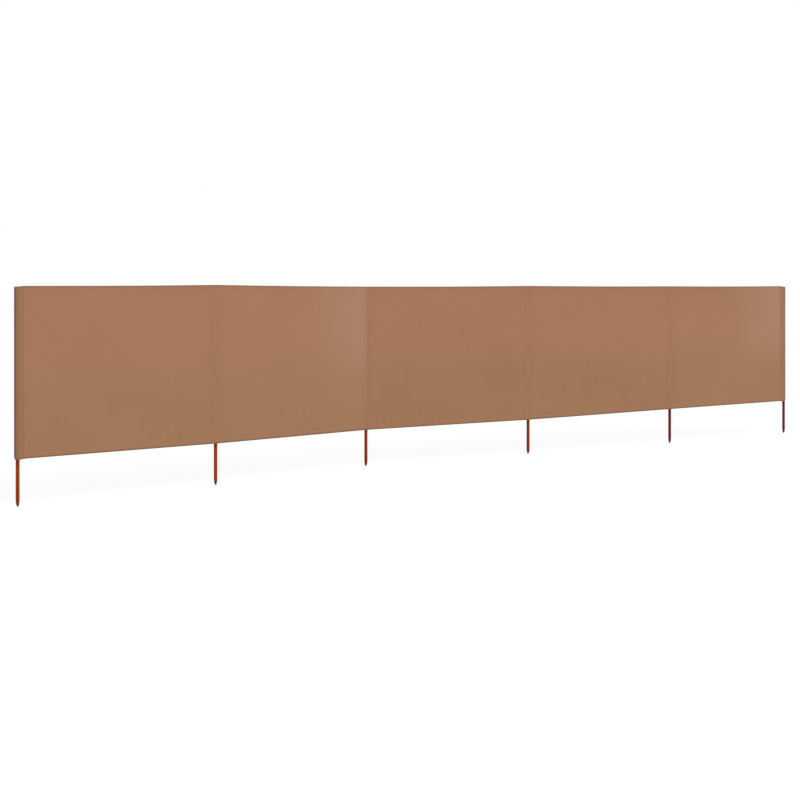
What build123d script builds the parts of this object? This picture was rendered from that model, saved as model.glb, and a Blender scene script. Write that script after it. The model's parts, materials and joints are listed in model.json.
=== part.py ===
from build123d import *
from math import acos, atan2, cos, radians, sin, tan
import os

# Beach windbreak: five bays of one long cloth, sewn into sleeves on six wooden poles.
# Millimetres, +Z up. The origin is the tip of the first pole, the run of bays goes along +X,
# the smooth front of the cloth faces -Y and the sleeves' strips are sewn to its back.

# The cloth
BAY_WIDTH = 1196.0
BAY_HEADINGS = (4.0, 9.0, -6.0, -6.0, -1.0)  # degrees from +X towards the back, one for each bay
CLOTH_HEIGHT = 800.0
CLOTH_THICKNESS = 1.0
HEM_WIDTH = 12.0
HEM_ROUND_SHARE = 0.8  # round of a hem's folded edge, of the cloth's thickness

# The sleeves
SLEEVE_FIT = 0.3  # room between the cloth and what it goes round or ends beside
SEAM_SPACING = 56.0  # between the two seams of a sleeve on an inner pole
END_SEAM_DISTANCE = 37.0  # from an end pole's axis to the one seam of its sleeve
END_FOLD_REACH = 9.0  # from the cloth round an end pole out to the fold of its sleeve
END_FOLD_ROUND = 2.0
SEAM_ALLOWANCE = 8.0  # cloth beyond a seam
CORNER_DROP = 4.0  # how far the cloth's corners hang below their seam, at the top and the bottom
SLEEVE_HEADROOM = 8.0  # above a pole, where the real sleeve is drawn flat and sewn

# The poles
POLE_DIAMETER = 18.0
STAKE_LENGTH = 211.0  # bare wood below the cloth
POINT_LENGTH = 30.0
POINT_END_DIAMETER = 6.0
POLE_TOP_ROUND = 3.0

# Heights and radii that follow from them
cloth_bottom = STAKE_LENGTH
cloth_top = cloth_bottom + CLOTH_HEIGHT
roof_depth = CORNER_DROP + CLOTH_THICKNESS
pole_top = cloth_top - roof_depth - SLEEVE_HEADROOM
pole_radius = POLE_DIAMETER / 2
point_end_radius = POINT_END_DIAMETER / 2
wrap_radius = pole_radius + SLEEVE_FIT + CLOTH_THICKNESS / 2  # middle of the cloth round a pole
end_fold = wrap_radius + END_FOLD_REACH  # from an end pole's axis to the middle of the folded cloth
fold_corner = wrap_radius * (end_fold - END_FOLD_ROUND) / (wrap_radius - END_FOLD_ROUND)  # without its round
end_sleeve_width = END_SEAM_DISTANCE + end_fold + CLOTH_THICKNESS / 2
end_tail = END_SEAM_DISTANCE + SEAM_ALLOWANCE
inner_tail = SEAM_SPACING / 2 + SEAM_ALLOWANCE


def heading_plane(origin, heading):
    """Level plane at a point of the plan, with its X axis along a heading and its Y axis to the back."""
    return Plane(origin=origin, x_dir=Vector(1, 0).rotate(Axis.Z, heading), z_dir=(0, 0, 1))


def upright(place):
    """Plane that stands on a level plane's X axis and faces its front."""
    return Plane(origin=place.origin, x_dir=place.x_dir, z_dir=-place.y_dir)


def tangent_point(start, turn):
    """Where a straight cloth from start first touches the wrap round a pole at the origin.

    turn is 1 for the touch anticlockwise of start, and -1 for the clockwise one.
    """
    bearing = atan2(start.Y, start.X) + turn * acos(wrap_radius / start.length)
    return Vector(wrap_radius * cos(bearing), wrap_radius * sin(bearing))


def make_pole(place):
    """Turned wooden pole: a long straight shank, a blunt bullet point and a rounded top."""
    with BuildPart() as pole:
        with BuildSketch(upright(place)):
            with BuildLine():
                Line((0, 0), (point_end_radius, 0))
                TangentArc((pole_radius, POINT_LENGTH), (point_end_radius, 0), tangent=(0, -1))
                Polyline((pole_radius, POINT_LENGTH), (pole_radius, pole_top), (0, pole_top), (0, 0))
            make_face()
        revolve(axis=Axis(place.origin, (0, 0, 1)))
        top_edge = pole.edges().filter_by(GeomType.CIRCLE).sort_by(Axis.Z)[-1]
        fillet(top_edge, radius=POLE_TOP_ROUND)
    return pole.part


def make_panel(place, left_turn, right_turn):
    """One flat bay of cloth, with its hems turned to the back.

    Where the cloth goes on round an inner pole, the end is mitred to meet the next bay. A turn of
    None marks the end of the run, where the bay meets the tail of an end sleeve.
    """
    front = -CLOTH_THICKNESS / 2
    back = CLOTH_THICKNESS / 2
    left = end_tail if left_turn is None else 0
    right = BAY_WIDTH - (end_tail if right_turn is None else 0)
    left_slope = tan(radians((left_turn or 0) / 2))
    right_slope = -tan(radians((right_turn or 0) / 2))
    hem_left = SLEEVE_FIT + (end_tail if left_turn is None else inner_tail)
    hem_right = BAY_WIDTH - SLEEVE_FIT - (end_tail if right_turn is None else inner_tail)
    hem_middle = (hem_left + hem_right) / 2
    with BuildPart() as panel:
        with BuildSketch(place.offset(cloth_bottom)):
            with BuildLine():
                Polyline(
                    (left + front * left_slope, front),
                    (right + front * right_slope, front),
                    (right + back * right_slope, back),
                    (left + back * left_slope, back),
                    close=True,
                )
            make_face()
        extrude(amount=CLOTH_HEIGHT)
        for edge_height, inward in ((cloth_bottom, 1), (cloth_top, -1)):
            with BuildSketch(place.offset(edge_height)):
                with Locations((hem_middle, back + CLOTH_THICKNESS / 2)):
                    Rectangle(hem_right - hem_left, CLOTH_THICKNESS)
            extrude(amount=inward * HEM_WIDTH)
        along = panel.edges().filter_by(Axis(place.origin, place.x_dir))
        folds = along.sort_by(Axis(place.origin, place.y_dir))[-4:].sort_by(Axis.Z)
        fillet([folds[0], folds[-1]], radius=HEM_ROUND_SHARE * CLOTH_THICKNESS)
    return panel.part


def make_inner_sleeve(place, turn):
    """Strip of cloth sewn to the back of two bays, round an inner pole, closed at the top.

    From each seam the strip runs straight to the pole and then round its back. The two bays meet
    in front of the pole, where each one is turned by half of the fold.
    """
    fold = Vector(0, -wrap_radius / cos(radians(turn / 2)))
    bay = heading_plane(fold, turn / 2)
    tail = bay.from_local_coords(Vector(inner_tail, CLOTH_THICKNESS))
    seam = bay.from_local_coords(Vector(SEAM_SPACING / 2, CLOTH_THICKNESS))
    seam_on_bay = bay.from_local_coords(Vector(SEAM_SPACING / 2, CLOTH_THICKNESS / 2))
    fold_on_bay = fold + Vector(0, CLOTH_THICKNESS / 2 / cos(radians(turn / 2)))
    touch = tangent_point(seam, 1)
    behind = Vector(0, wrap_radius)
    with BuildPart() as sleeve:
        with BuildSketch(place.offset(cloth_bottom)):
            with BuildLine():
                Line(tail, seam)
                side = Line(seam, touch)
                TangentArc(touch, behind, tangent=side % 1)
            trace(line_width=CLOTH_THICKNESS)
            mirror(about=Plane.YZ)
        extrude(amount=CLOTH_HEIGHT)
        with BuildSketch(place.offset(cloth_top)):
            with BuildLine():
                side = Line(seam, touch)
                TangentArc(touch, behind, tangent=side % 1)
                Polyline(behind, fold_on_bay, seam_on_bay, seam)
            make_face()
            mirror(about=Plane.YZ)
        extrude(amount=-CLOTH_THICKNESS)
    return sleeve.part


def make_end_sleeve(place, inward):
    """End of the cloth folded round an end pole and back to its seam, closed at the top.

    From the seam the front ply runs straight to the pole, round its front and on to the fold, and the
    back ply returns the same way. inward is 1 where the bay lies towards the place's +X, and -1 where
    it lies towards its -X.
    """
    seam = Vector(inward * END_SEAM_DISTANCE, 0)
    corner = Vector(-inward * fold_corner, 0)
    ply = Vector(0, CLOTH_THICKNESS)
    tail_middle = (seam + Vector(inward * end_tail, 0) + ply) / 2
    front_touches = tangent_point(seam, -inward), tangent_point(corner, inward)
    back_touches = tangent_point(corner, -inward), tangent_point(seam + ply, inward)
    with BuildSketch() as loop:
        with BuildLine():
            Line(seam, front_touches[0])
            ThreePointArc(front_touches[0], (0, -wrap_radius), front_touches[1])
            Polyline(front_touches[1], corner, back_touches[0])
            ThreePointArc(back_touches[0], (0, wrap_radius), back_touches[1])
            Polyline(back_touches[1], seam + ply, seam)
        make_face()
        fillet(loop.vertices().sort_by_distance(corner)[0], radius=END_FOLD_ROUND)
    # Seen from the front, the outline falls at one slope from the seam and on past the corners.
    far = seam.X - 2 * inward * end_sleeve_width
    far_drop = 2 * CORNER_DROP
    lip_height = cloth_bottom - CORNER_DROP
    with BuildPart() as sleeve:
        with BuildSketch(place.offset(lip_height)):
            offset(loop.sketch, amount=CLOTH_THICKNESS / 2, kind=Kind.INTERSECTION)
            with Locations(tail_middle):
                Rectangle(SEAM_ALLOWANCE, 2 * CLOTH_THICKNESS)
        extrude(amount=cloth_top - lip_height)
        with BuildSketch(place.offset(lip_height)):
            offset(loop.sketch, amount=-CLOTH_THICKNESS / 2, kind=Kind.INTERSECTION)
        extrude(amount=cloth_top - roof_depth - lip_height, mode=Mode.SUBTRACT)
        with BuildSketch(upright(place)):
            with BuildLine():
                Polyline(
                    (inward * end_tail, cloth_bottom),
                    (seam.X, cloth_bottom),
                    (far, cloth_bottom - far_drop),
                    (far, cloth_top - far_drop),
                    (seam.X, cloth_top),
                    (inward * end_tail, cloth_top),
                    close=True,
                )
            make_face()
        extrude(amount=POLE_DIAMETER, both=True, mode=Mode.INTERSECT)
    return sleeve.part


def write(piece, name):
    """Label a finished piece and write its file."""
    piece.label = name
    export_step(piece, f"parts/{name}.step")


os.makedirs("parts", exist_ok=True)

# The cloth's fold lines in plan, from one end of the run to the other
folds = [Vector(0, 0)]
for heading in BAY_HEADINGS:
    folds.append(folds[-1] + Vector(BAY_WIDTH, 0).rotate(Axis.Z, heading))
turns = [after - before for before, after in zip(BAY_HEADINGS, BAY_HEADINGS[1:])]

# The end poles stand in the plane of the cloth, the inner ones behind its folds
first_place = heading_plane(folds[0], BAY_HEADINGS[0])
last_place = heading_plane(folds[-1], BAY_HEADINGS[-1])
inner_places = []
for fold, before, turn in zip(folds[1:], BAY_HEADINGS, turns):
    heading = before + turn / 2
    setback = Vector(0, wrap_radius / cos(radians(turn / 2))).rotate(Axis.Z, heading)
    inner_places.append(heading_plane(fold + setback, heading))

for number, place in enumerate([first_place, *inner_places, last_place], start=1):
    write(make_pole(place), f"pole_{number}")

left_turns = [None, *turns]
right_turns = [*turns, None]
for number, heading in enumerate(BAY_HEADINGS, start=1):
    place = heading_plane(folds[number - 1], heading)
    write(make_panel(place, left_turns[number - 1], right_turns[number - 1]), f"panel_{number}")

write(make_end_sleeve(first_place, 1), "sleeve_1")
for number, (place, turn) in enumerate(zip(inner_places, turns), start=2):
    write(make_inner_sleeve(place, turn), f"sleeve_{number}")
write(make_end_sleeve(last_place, -1), f"sleeve_{len(folds)}")
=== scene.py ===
# %% [markdown]
# # A beach windbreak
# The real windbreak is one long cloth, sewn into sleeves on six wooden poles that are pushed into the sand.
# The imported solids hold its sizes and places. This lesson loads them, works out the cloth, the thread and
# the poles as surfaces with numpy, and gives each of them a finish made of nodes. All lengths are in metres.

# %% Load the frame
import json

import bpy
import numpy as np
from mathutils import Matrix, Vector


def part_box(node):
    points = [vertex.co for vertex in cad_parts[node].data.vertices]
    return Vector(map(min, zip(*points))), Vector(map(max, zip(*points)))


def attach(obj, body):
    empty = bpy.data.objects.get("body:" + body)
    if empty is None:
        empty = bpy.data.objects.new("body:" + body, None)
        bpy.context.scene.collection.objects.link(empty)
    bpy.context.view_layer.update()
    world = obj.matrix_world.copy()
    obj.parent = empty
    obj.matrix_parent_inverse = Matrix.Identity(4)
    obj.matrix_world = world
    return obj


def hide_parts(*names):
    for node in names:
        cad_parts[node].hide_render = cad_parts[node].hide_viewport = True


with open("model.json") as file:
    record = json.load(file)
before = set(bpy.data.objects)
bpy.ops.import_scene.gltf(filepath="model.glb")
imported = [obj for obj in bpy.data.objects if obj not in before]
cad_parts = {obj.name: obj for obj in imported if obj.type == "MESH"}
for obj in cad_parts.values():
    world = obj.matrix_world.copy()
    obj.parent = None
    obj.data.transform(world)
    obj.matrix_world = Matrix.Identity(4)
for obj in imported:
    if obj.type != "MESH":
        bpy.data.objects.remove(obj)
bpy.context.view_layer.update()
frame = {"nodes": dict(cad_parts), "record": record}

# %% [markdown]
# ## Camera
# The photograph looks along the run of bays from beyond its first pole, about seven metres off and a metre
# up. Its uprights stay upright, so the camera is level, and the lens is shifted down to bring the cloth to
# the middle of the picture. Tilting the camera instead would make the poles lean together.

# %% Place the camera
CAMERA_PLACE = (-4.1257, -7.1423, 1.0227)
CAMERA_HEADING = np.radians(-42.322)  # from looking straight at the front of the run
CAMERA_LENS = 78.853  # in millimetres, on the usual 36 mm sensor
CAMERA_SHIFT = -0.1449  # share of the picture's side


def put(name, data):
    """New object at the origin of the scene."""
    thing = bpy.data.objects.new(name, data)
    bpy.context.scene.collection.objects.link(thing)
    return thing


camera = put("camera", bpy.data.cameras.new("camera"))
camera.location = CAMERA_PLACE
camera.rotation_euler = (np.pi / 2, 0, CAMERA_HEADING)
camera.data.lens = CAMERA_LENS
camera.data.shift_y = CAMERA_SHIFT
bpy.context.scene.camera = camera
print("camera looks along", np.round((-np.sin(CAMERA_HEADING), np.cos(CAMERA_HEADING)), 3))

# %% [markdown]
# ## Nodes in few words
# Materials, the floor and the sky are all trees of nodes. Two small helpers add a node with its options and
# fill or link its sockets, so that each tree below reads as a list of what it is made of.

# %% Add a node
def fill(tree, node, inputs):
    """Give each named or numbered socket of a node a value or another node's output."""
    for socket, value in inputs.items():
        if isinstance(value, bpy.types.NodeSocket):
            tree.links.new(value, node.inputs[socket])
        else:
            node.inputs[socket].default_value = value


def add(tree, kind, inputs=None, **options):
    """Add a shader node to a tree. options are the node's own settings, and inputs fills its sockets."""
    node = tree.nodes.new("ShaderNode" + kind)
    for option, value in options.items():
        setattr(node, option, value)
    fill(tree, node, inputs or {})
    return node


def background_rays(tree):
    """Output that is 1 for rays that show the background: from the camera, a reflection or a clear piece."""
    rays = add(tree, "LightPath").outputs
    shown = add(tree, "Math", {0: rays["Is Camera Ray"], 1: rays["Is Glossy Ray"]}, operation="MAXIMUM")
    through = {0: shown.outputs[0], 1: rays["Is Transmission Ray"]}
    return add(tree, "Math", through, operation="MAXIMUM").outputs[0]


# %% [markdown]
# ## Floor and light
# The object stands on white, with flat, even light on its front. A white sky lights it from all sides,
# and one wide, soft sun from the front and a little to the right gives the rounds their shade. The floor
# and the sky show as white, and only a share of the floor's own light is seen, so its shadow stays faint.

# %% Build the stage
WHITE = (1, 1, 1, 1)
SKY_LEVEL = 0.60
SUN_LEVEL = 1.5
SUN_WIDTH = np.radians(25)
SUN_TURN = np.radians(15)  # to the right of the run's front
SUN_TILT = np.radians(47)  # from straight down
FLOOR_RADIUS = 60.0
FLOOR_SIDES = 96
FLOOR_LIGHT = 0.85  # what the floor throws back up
FLOOR_SHOWN = 1.02  # a little over white, so that the lit floor is plain white
SHADOW_SHARE = 0.11

bpy.context.scene.view_settings.view_transform = "Standard"

sky = bpy.data.worlds.new("white_sky")
sky.use_nodes = True
tree = sky.node_tree
tree.nodes.clear()
lighting = add(tree, "Background", {"Color": WHITE, "Strength": SKY_LEVEL}).outputs[0]
showing = add(tree, "Background", {"Color": WHITE, "Strength": 1.0}).outputs[0]
sky_mix = add(tree, "MixShader", {0: background_rays(tree), 1: lighting, 2: showing})
add(tree, "OutputWorld", {"Surface": sky_mix.outputs[0]})
bpy.context.scene.world = sky

sun = put("soft_sun", bpy.data.lights.new("soft_sun", "SUN"))
sun.data.energy = SUN_LEVEL
sun.data.angle = SUN_WIDTH
sun.rotation_euler = (SUN_TILT, 0, SUN_TURN)

floor_paint = bpy.data.materials.new("white_floor")
floor_paint.use_nodes = True
tree = floor_paint.node_tree
tree.nodes.clear()
bounce = add(tree, "BsdfDiffuse", {"Color": (FLOOR_LIGHT, FLOOR_LIGHT, FLOOR_LIGHT, 1)}).outputs[0]
shaded = add(tree, "BsdfDiffuse", {"Color": WHITE}).outputs[0]
plain = add(tree, "Emission", {"Color": WHITE, "Strength": FLOOR_SHOWN}).outputs[0]
seen_floor = add(tree, "MixShader", {0: SHADOW_SHARE, 1: plain, 2: shaded}).outputs[0]
floor_mix = add(tree, "MixShader", {0: background_rays(tree), 1: bounce, 2: seen_floor})
add(tree, "OutputMaterial", {"Surface": floor_mix.outputs[0]})

floor_turn = np.linspace(0, 2 * np.pi, FLOOR_SIDES, endpoint=False)
floor_rim = FLOOR_RADIUS * np.stack([np.cos(floor_turn), np.sin(floor_turn), 0 * floor_turn], axis=1)
floor_mesh = bpy.data.meshes.new("floor")
floor_mesh.from_pydata(floor_rim.tolist(), [], [list(range(FLOOR_SIDES))])
floor_mesh.materials.append(floor_paint)
floor = put("floor", floor_mesh)
print("floor", 2 * FLOOR_RADIUS, "m wide at the level of the tips")

# %% [markdown]
# ## Where the bays run
# The frame says where each pole's tip is and where each flat bay lies. From these come the fold lines of
# the cloth: in front of each inner pole two bays meet, and the fold lies on the middle line between them.
# Reading them here, instead of typing them again, keeps the cloth on its solids if the model changes.

# %% Read the plan from the frame
CLOTH_THICKNESS = 0.001  # of the solids: the cloth below is a little thinner
FACE_SHARE = 0.7  # of that thickness, within which a point counts as on a bay's front face
BAY_NAMES = [f"panel_{number}" for number in range(1, 6)]
POLE_NAMES = [f"pole_{number}" for number in range(1, 7)]


def node_points(name):
    """Corner points of a solid, as an array of one row for each point."""
    mesh = frame["nodes"][name].data
    points = np.empty(3 * len(mesh.vertices))
    mesh.vertices.foreach_get("co", points)
    return points.reshape(-1, 3)


def quarter_left(vectors):
    """Plan vectors turned a quarter turn to the left: (x, y) becomes (-y, x)."""
    return np.stack([-vectors[..., 1], vectors[..., 0]], axis=-1)


def unit(vectors):
    """Vectors divided by their own lengths."""
    return vectors / np.linalg.norm(vectors, axis=-1, keepdims=True)


def longest_axis(points):
    """Unit vector along which plan points spread the most, pointing to +X."""
    axis = np.linalg.svd(points - points.mean(axis=0), full_matrices=False)[2][0]
    return axis * np.sign(axis[0])


def bay_line(name):
    """Direction of a flat bay, and how far the middle of its sheet lies to the back of the origin.

    The first direction is the longest axis of all the bay's points. The final one is the longest axis of
    the points on its front face, which lie less than a share of the thickness behind the foremost one.
    """
    plan = node_points(name)[:, :2]
    depth = plan @ quarter_left(longest_axis(plan))
    face = plan[depth < depth.min() + FACE_SHARE * CLOTH_THICKNESS]
    direction = longest_axis(face)
    return direction, (face @ quarter_left(direction)).mean() + CLOTH_THICKNESS / 2


bay_lines = [bay_line(name) for name in BAY_NAMES]
directions = np.array([line[0] for line in bay_lines])
sheet_depths = np.array([line[1] for line in bay_lines])
backs = quarter_left(directions)
poles = np.array([mount["pos_m"][:2] for mount in frame["record"]["mounts"]])

post_backs = unit(np.vstack([backs[:1], backs[:-1] + backs[1:], backs[-1:]]))
post_bays = np.minimum(np.arange(len(poles)), len(backs) - 1)
to_cloth = sheet_depths[post_bays] - (poles * backs[post_bays]).sum(axis=1)
to_cloth /= (post_backs * backs[post_bays]).sum(axis=1)
folds = poles + to_cloth[:, None] * post_backs
half_turns = np.diff(np.arctan2(directions[:, 1], directions[:, 0])) / 2

pole_low, pole_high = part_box(POLE_NAMES[0])
pole_radius = (pole_high.x - pole_low.x) / 2
cloth_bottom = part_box(BAY_NAMES[0])[0].z
cloth_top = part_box(BAY_NAMES[0])[1].z
print("bay widths", np.round(np.linalg.norm(np.diff(folds, axis=0), axis=1), 4))
print("cloth from", round(cloth_bottom, 4), "to", round(cloth_top, 4))
print("poles are", round(2 * pole_radius, 4), "thick")

# %% [markdown]
# ## Lines and places on them
# The cloth is a profile carried along a path: the path is its line seen from above, and the profile is its
# line seen from the end, with a hem turned to the back at the top and the bottom. Both are lines of a few
# corners, each corner rounded, and both are used by the length along them, as a tailor would measure.

# %% Rounded lines
GRADING_TRIES = 40001


def lengths_of(line):
    """Length along a line from its start to each of its points."""
    return np.concatenate([[0], np.cumsum(np.linalg.norm(np.diff(line, axis=0), axis=1))])


def at_length(line, lengths, where):
    """Points of a line at the given lengths, with each coordinate interpolated between its neighbours."""
    return np.stack([np.interp(where, lengths, line[:, axis]) for axis in range(line.shape[1])], axis=-1)


def rounded_line(corners, rounds, spacing, steps=9):
    """Evenly spaced line through corners, its lengths, and the length at the middle of each corner.

    Each inner corner c becomes the curve (1-t)^2 a + 2t(1-t) c + t^2 b, where a and b lie the corner's
    round before and after it and t goes from 0 to 1.
    """
    runs = unit(np.diff(corners, axis=0))
    middle = corners[1:-1, None]
    start = middle - rounds[:, None, None] * runs[:-1, None]
    end = middle + rounds[:, None, None] * runs[1:, None]
    t = np.linspace(0, 1, steps)[None, :, None]
    curves = (1 - t) ** 2 * start + 2 * t * (1 - t) * middle + t**2 * end
    rough = np.concatenate([corners[:1], curves.reshape(-1, corners.shape[1]), corners[-1:]])
    rough_lengths = lengths_of(rough)
    marks = np.concatenate([[0], rough_lengths[1 + steps // 2 : -1 : steps], rough_lengths[-1:]])
    even = np.linspace(0, rough_lengths[-1], int(rough_lengths[-1] / spacing) + 1)
    return at_length(rough, rough_lengths, even), even, marks


def graded(start, stop, marks, fine, coarse, reach):
    """Places from start to stop, fine apart at each mark and coarse apart from reach onwards.

    The spacing grows evenly with the distance to the nearest mark. Its inverse is added up along the line,
    and the places are where that sum passes whole numbers.
    """
    tries = np.linspace(start, stop, GRADING_TRIES)
    away = np.abs(tries[:, None] - np.asarray(marks)[None]).min(axis=1)
    spacing = fine + (coarse - fine) * np.clip(away / reach, 0, 1)
    count = np.concatenate([[0], np.cumsum(np.diff(tries) / spacing[1:])])
    return np.interp(np.linspace(0, count[-1], int(round(count[-1])) + 1), count, tries)


def smooth_step(low, high, value):
    """0 below low, 1 above high, and 3t^2 - 2t^3 between them, where t is the share of the way."""
    t = np.clip((value - low) / (high - low), 0, 1)
    return t * t * (3 - 2 * t)


# %% [markdown]
# ## The path of the cloth
# At each end the cloth is folded round the pole and sewn to itself, so seen from above the path is a long
# line with a loop at each end: tail, back seam, behind the pole, outer fold, in front of the pole, front
# seam, then the five bays, and the same again. The fold stands a little off the pole, and the straight
# parts of a loop touch the circle round the pole, as a tight cloth does.

# %% Lay the path
SHEET = 0.0006  # thickness of the cloth
WRAP_GAP = 0.0008  # from a pole to the middle of the cloth round it
END_SEAM = 0.037  # from an end pole's axis to its sleeve's seam
INNER_SEAM = 0.028  # from a fold to the seams of the strip behind it
SEAM_ALLOWANCE = 0.008
PLY = 0.001  # from the middle of a cloth to the middle of the one sewn behind it
SEAM_ROUND = 0.0025
FOLD_ROUND = 0.014
FOLD_REACH = 0.009  # from the cloth round an end pole out to its sleeve's outer fold
OUTER_FOLD_ROUND = 0.002
ARC_POINTS = 21
WRAP_RADIUS = pole_radius + WRAP_GAP
OUTER_FOLD = WRAP_RADIUS + FOLD_REACH


def arc(centre, radius, start, stop):
    """Points of an arc from one bearing to another, about a centre on the bay's line."""
    bearing = np.linspace(start, stop, ARC_POINTS)
    return np.stack([centre + radius * np.cos(bearing), radius * np.sin(bearing)], axis=1)


def end_loop():
    """Corners of an end sleeve seen from above, as distances inward and to the back of the pole's axis.

    A line from the seam touches the circle round the pole where the bearing differs from the seam's own by
    the angle whose cosine is the circle's radius over the seam's distance. A line that touches this circle
    and the small round of the outer fold leaves both at one bearing. Its cosine, counted from straight
    outward, is the difference of the two radii over the distance between the two centres.
    """
    back_touch = np.arctan2(PLY, END_SEAM) + np.arccos(WRAP_RADIUS / np.hypot(END_SEAM, PLY))
    front_touch = 2 * np.pi - np.arccos(WRAP_RADIUS / END_SEAM)
    to_round = OUTER_FOLD - OUTER_FOLD_ROUND
    spread = np.arccos((WRAP_RADIUS - OUTER_FOLD_ROUND) / to_round)
    return np.vstack([
        (END_SEAM + SEAM_ALLOWANCE, PLY),
        (END_SEAM, PLY),
        arc(0, WRAP_RADIUS, back_touch, np.pi - spread),
        arc(-to_round, OUTER_FOLD_ROUND, np.pi - spread, np.pi + spread),
        arc(0, WRAP_RADIUS, np.pi + spread, front_touch),
        (END_SEAM, 0),
    ])


loop = end_loop()
first_loop = poles[0] + loop[:, :1] * directions[0] + loop[:, 1:] * backs[0]
last_loop = poles[-1] - loop[:, :1] * directions[-1] + loop[:, 1:] * backs[-1]
loop_rounds = np.concatenate([[SEAM_ROUND], np.zeros(len(loop) - 3), [SEAM_ROUND]])
path, path_lengths, path_marks = rounded_line(
    np.vstack([first_loop, folds[1:-1], last_loop[::-1]]),
    np.concatenate([loop_rounds, np.full(len(folds) - 2, FOLD_ROUND), loop_rounds[::-1]]),
    spacing=0.0005,
)
path_sides = unit(quarter_left(np.gradient(path, axis=0)))

back_seams = path_marks[[1, -2]]
fold_corner = 2 + ARC_POINTS + ARC_POINTS // 2  # past the tail, the seam and one arc, in mid round
outer_folds = path_marks[[fold_corner, -1 - fold_corner]]
front_seams = path_marks[[len(loop) - 1, -len(loop)]]
fold_marks = path_marks[len(loop) : -len(loop)]
bay_starts = np.concatenate([front_seams[:1], fold_marks + INNER_SEAM])
bay_ends = np.concatenate([fold_marks - INNER_SEAM, front_seams[1:]])
post_marks = np.concatenate([front_seams[:1], fold_marks, front_seams[1:]])
print("cloth is", round(path_lengths[-1], 4), "m long, with folds at", np.round(fold_marks, 3))

# %% [markdown]
# ## The profile
# The profile goes down the lower hem's turned edge at the back, round the fold, up the front, over the top
# fold and down the upper hem's. A plain sheet would do from afar, but close by the doubled edge is what
# shows that it is sewn.

# %% Lay the profile
HEM_WIDTH = 0.012
HEM_GAP = 0.0010  # from the cloth to its turned edge


def hemmed_profile(low, high, hem, gap):
    """Line of set-backs and heights up a cloth with both edges turned to the back, its lengths, and the
    lengths at the middle of its lower and its upper fold."""
    corners = np.array([(gap, low + hem), (gap, low), (0, low), (0, high), (gap, high), (gap, high - hem)])
    line, lengths, marks = rounded_line(corners, np.full(4, gap / 2), spacing=0.0001)
    return line, lengths, marks[1:3].mean(), marks[3:5].mean()


profile, profile_lengths, bottom_fold, top_fold = hemmed_profile(
    cloth_bottom, cloth_top, HEM_WIDTH, HEM_GAP,
)
print("cloth is cut", round(profile_lengths[-1], 4), "m high, with its hems")

# %% [markdown]
# ## The relief
# The relief is what makes the sheet cloth and not board: a slight belly in each bay, soft upright ripples
# where the seams pull, and fans of creases at a bay's corners. A simulation could make them too, but on a
# cloth drawn tight between its poles they are only millimetres, and sums of waves keep them in hand.

# %% Shape the bays
BELLIES = np.array([0.0030, -0.0040, 0.0045, -0.0030, 0.0040])  # to the back, one for each bay
BELLY_EDGE_SHARE = 0.4  # what is left of a belly at the cloth's edges
RIPPLE_HEIGHT = 0.0008
RIPPLE_LENGTH = 0.052
RIPPLE_START = 0.012
RIPPLE_REACH = 0.11
RIPPLE_MEAN = 0.55  # of its full strength
RIPPLE_SWELL = (8.0, 1.7)  # how far the strength's wave turns up the cloth, and from bay to bay
RIPPLE_DRIFT = 0.9
RIPPLE_WANDER = (5.0, 2.1)  # the same for the drift's wave
CREASE_HEIGHT = 0.0011
CREASE_REACH = 0.16
CREASE_FADE = 2.2
CREASE_GAPS = (0.02, 0.03)  # from the seams and from the edges, over which the creases begin
CREASES = 7.0  # in a quarter turn about a corner
CREASE_TURN = 1.3  # of the fan, from bay to bay


def bay_place(along):
    """Number of the bay at a length, the share of the bay's free width there, and that width."""
    bay = np.clip(np.searchsorted(bay_starts, along) - 1, 0, len(bay_starts) - 1)
    width = bay_ends[bay] - bay_starts[bay]
    return bay, np.clip((along - bay_starts[bay]) / width, 0, 1), width


def relief(along, height):
    """How far the cloth lies to the back of its plane.

    The belly is a half wave across the bay, fuller at half height. The ripples are waves of the distance to
    the nearest seam that rise beside it and fade further off, stronger and weaker up the cloth. The creases
    are waves of the angle about the nearest corner, which rise from nothing there and fade further off.
    """
    bay, share, width = bay_place(along)
    rise = np.clip((height - cloth_bottom) / (cloth_top - cloth_bottom), 0, 1)
    fullness = BELLY_EDGE_SHARE + (1 - BELLY_EDGE_SHARE) * np.sin(np.pi * rise)
    belly = BELLIES[bay] * np.sin(np.pi * share) * fullness
    from_seam = np.minimum(share, 1 - share) * width
    side = np.where(share < 0.5, 1.0, -1.0)
    drift = RIPPLE_DRIFT * np.sin(RIPPLE_WANDER[0] * rise + RIPPLE_WANDER[1] * bay + side)
    swell = np.sin(RIPPLE_SWELL[0] * rise + RIPPLE_SWELL[1] * bay - side)
    ripples = np.sin(2 * np.pi * from_seam / RIPPLE_LENGTH + drift)
    ripples *= RIPPLE_MEAN + (1 - RIPPLE_MEAN) * swell
    ripples *= np.exp(-from_seam / RIPPLE_REACH) * (1 - np.exp(-from_seam / RIPPLE_START))
    from_edge = np.minimum(rise, 1 - rise) * (cloth_top - cloth_bottom)
    from_corner = np.hypot(from_seam, from_edge)
    fan = np.sin(4 * CREASES * np.arctan2(from_edge, from_seam) + CREASE_TURN * bay)
    creases = fan * (from_corner / CREASE_REACH) * np.exp(1 - CREASE_FADE * from_corner / CREASE_REACH)
    creases *= smooth_step(0, CREASE_GAPS[0], from_seam) * smooth_step(0, CREASE_GAPS[1], from_edge)
    return belly + RIPPLE_HEIGHT * ripples + CREASE_HEIGHT * creases


bay_depths = relief((bay_starts + bay_ends) / 2, (cloth_bottom + cloth_top) / 2)
print("middles of the bays lie", np.round(1000 * bay_depths, 1), "mm to the back")

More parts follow.
